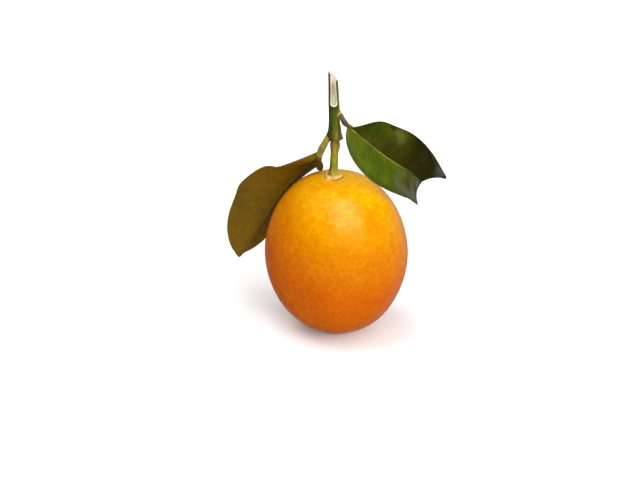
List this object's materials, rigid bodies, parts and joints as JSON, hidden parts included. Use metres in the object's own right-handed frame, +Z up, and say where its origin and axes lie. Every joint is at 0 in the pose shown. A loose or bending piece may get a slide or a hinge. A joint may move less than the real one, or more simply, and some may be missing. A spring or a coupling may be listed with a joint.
{
  "type": "kumquat",
  "caption": "Ripe round kumquat with its pitted orange peel, calyx, short cut twig and leaves, standing on its blossom end.",
  "frame": {"origin": "centre of the small flat spot at the blossom end that the fruit rests on", "axes": "+Z up, from the blossom end to the stem; +X to the viewer's right, to the side of the higher leaf; +Y away from the viewer"},
  "size_m": [0.0468, 0.0309, 0.0575],
  "materials": {
    "peel": "waxy and finely pitted",
    "calyx": "matte",
    "bark": "satin green bark, pale wood on the cut",
    "leaf_green": "glossy upper side, paler satin underside",
    "leaf_underside": "satin"
  },
  "bodies": {
    "root": {"fruit": "peel", "calyx": "calyx", "twig": "bark", "leaf_right": "leaf_green", "leaf_left": "leaf_underside"}
  },
  "joints": []
}
